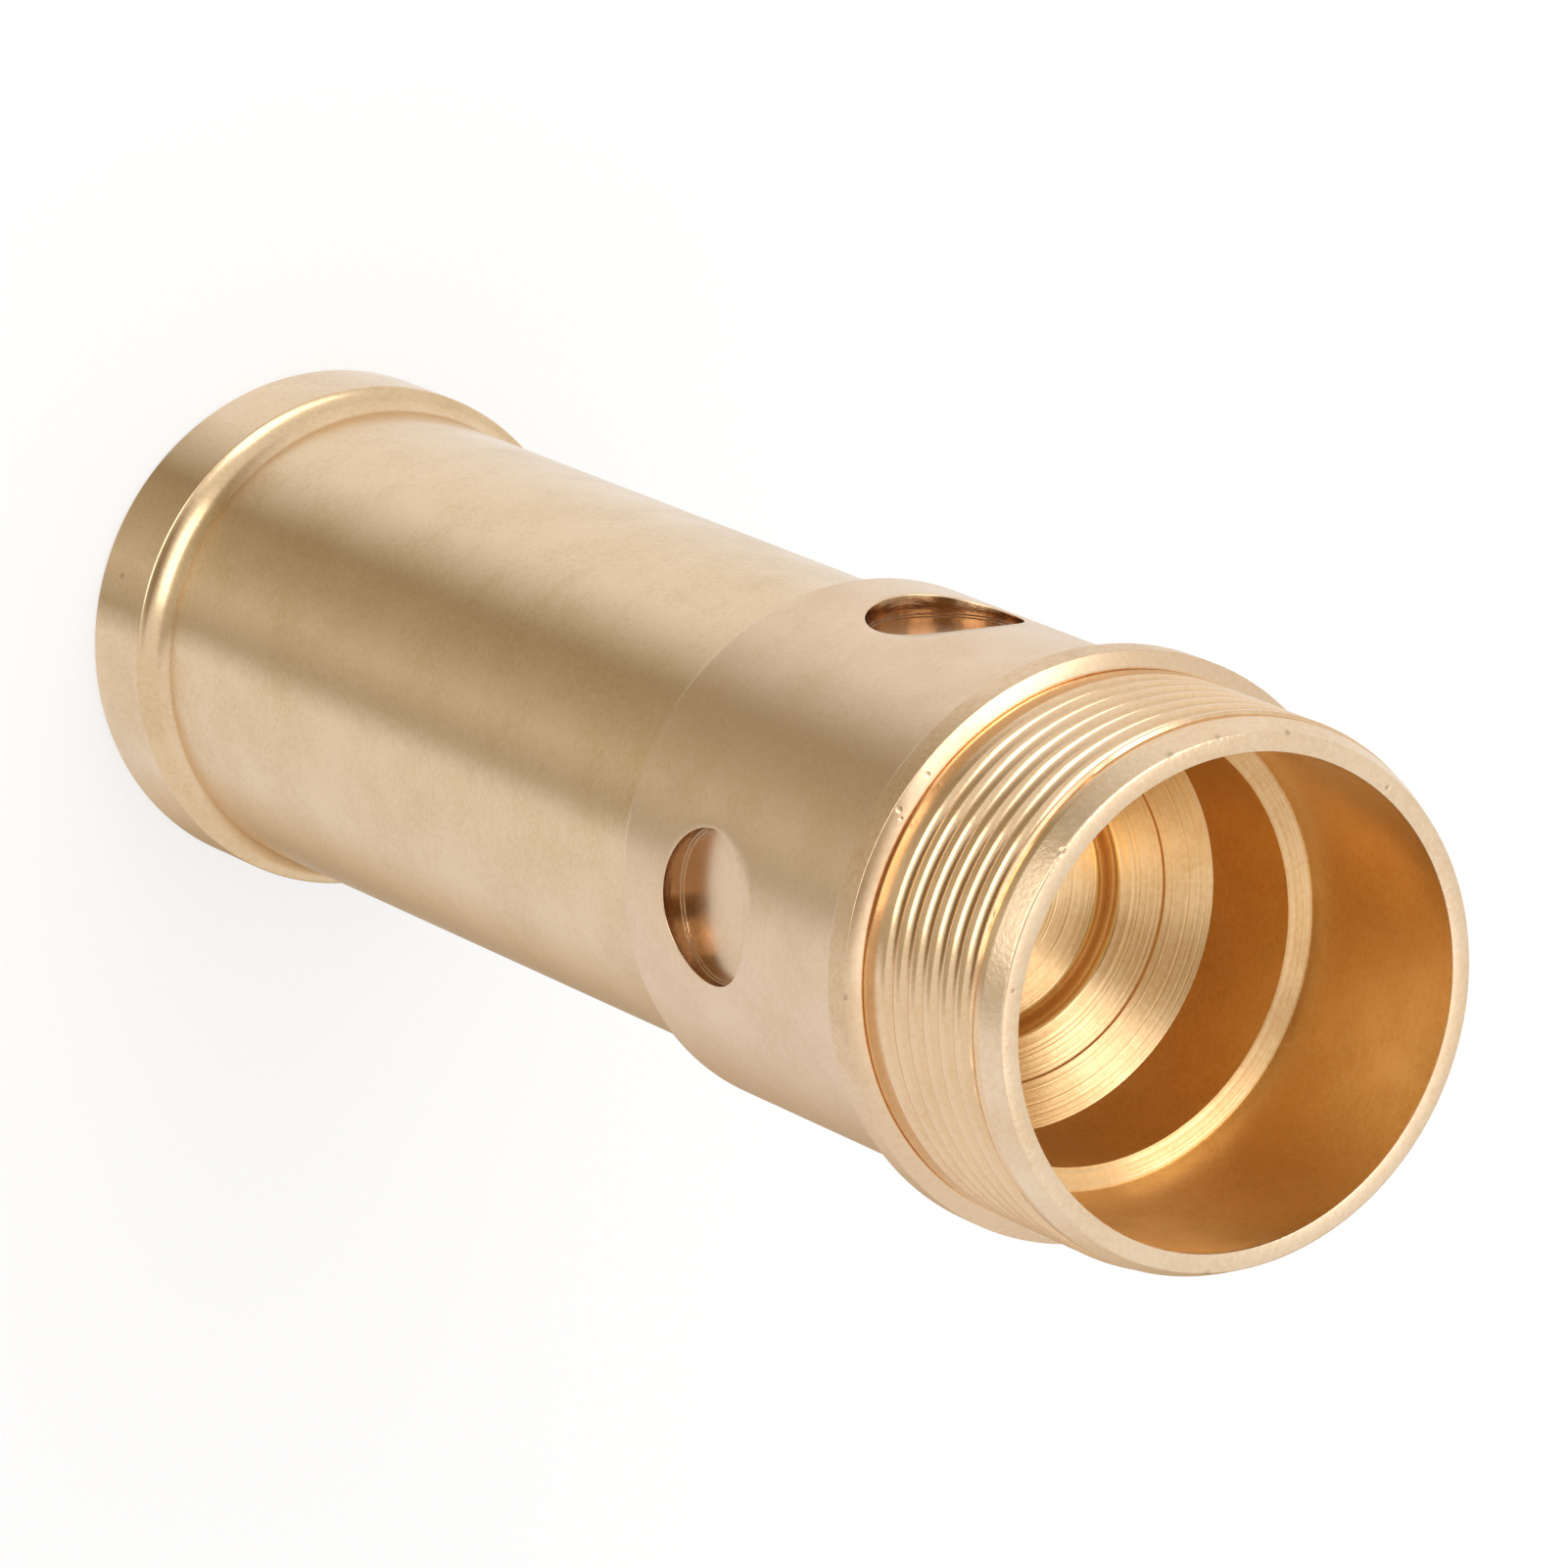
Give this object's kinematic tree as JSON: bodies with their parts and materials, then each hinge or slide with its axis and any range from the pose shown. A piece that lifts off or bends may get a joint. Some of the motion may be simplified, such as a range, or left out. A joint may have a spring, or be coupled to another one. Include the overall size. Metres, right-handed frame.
{
  "type": "turned brass sleeve",
  "caption": "Long turned brass sleeve with a flanged head, a collared threaded end, a stepped blind socket and wrench pockets.",
  "frame": {"origin": "centre of the rear face of the head, on which the part stands", "axes": "+Z along the turning axis, from the head up to the open threaded mouth; -Y through the centre of one wrench pocket"},
  "size_m": [0.0318, 0.0318, 0.0988],
  "materials": {
    "brass": "fine-turned, satin"
  },
  "bodies": {
    "root": {"turned_sleeve": "brass"}
  },
  "joints": []
}
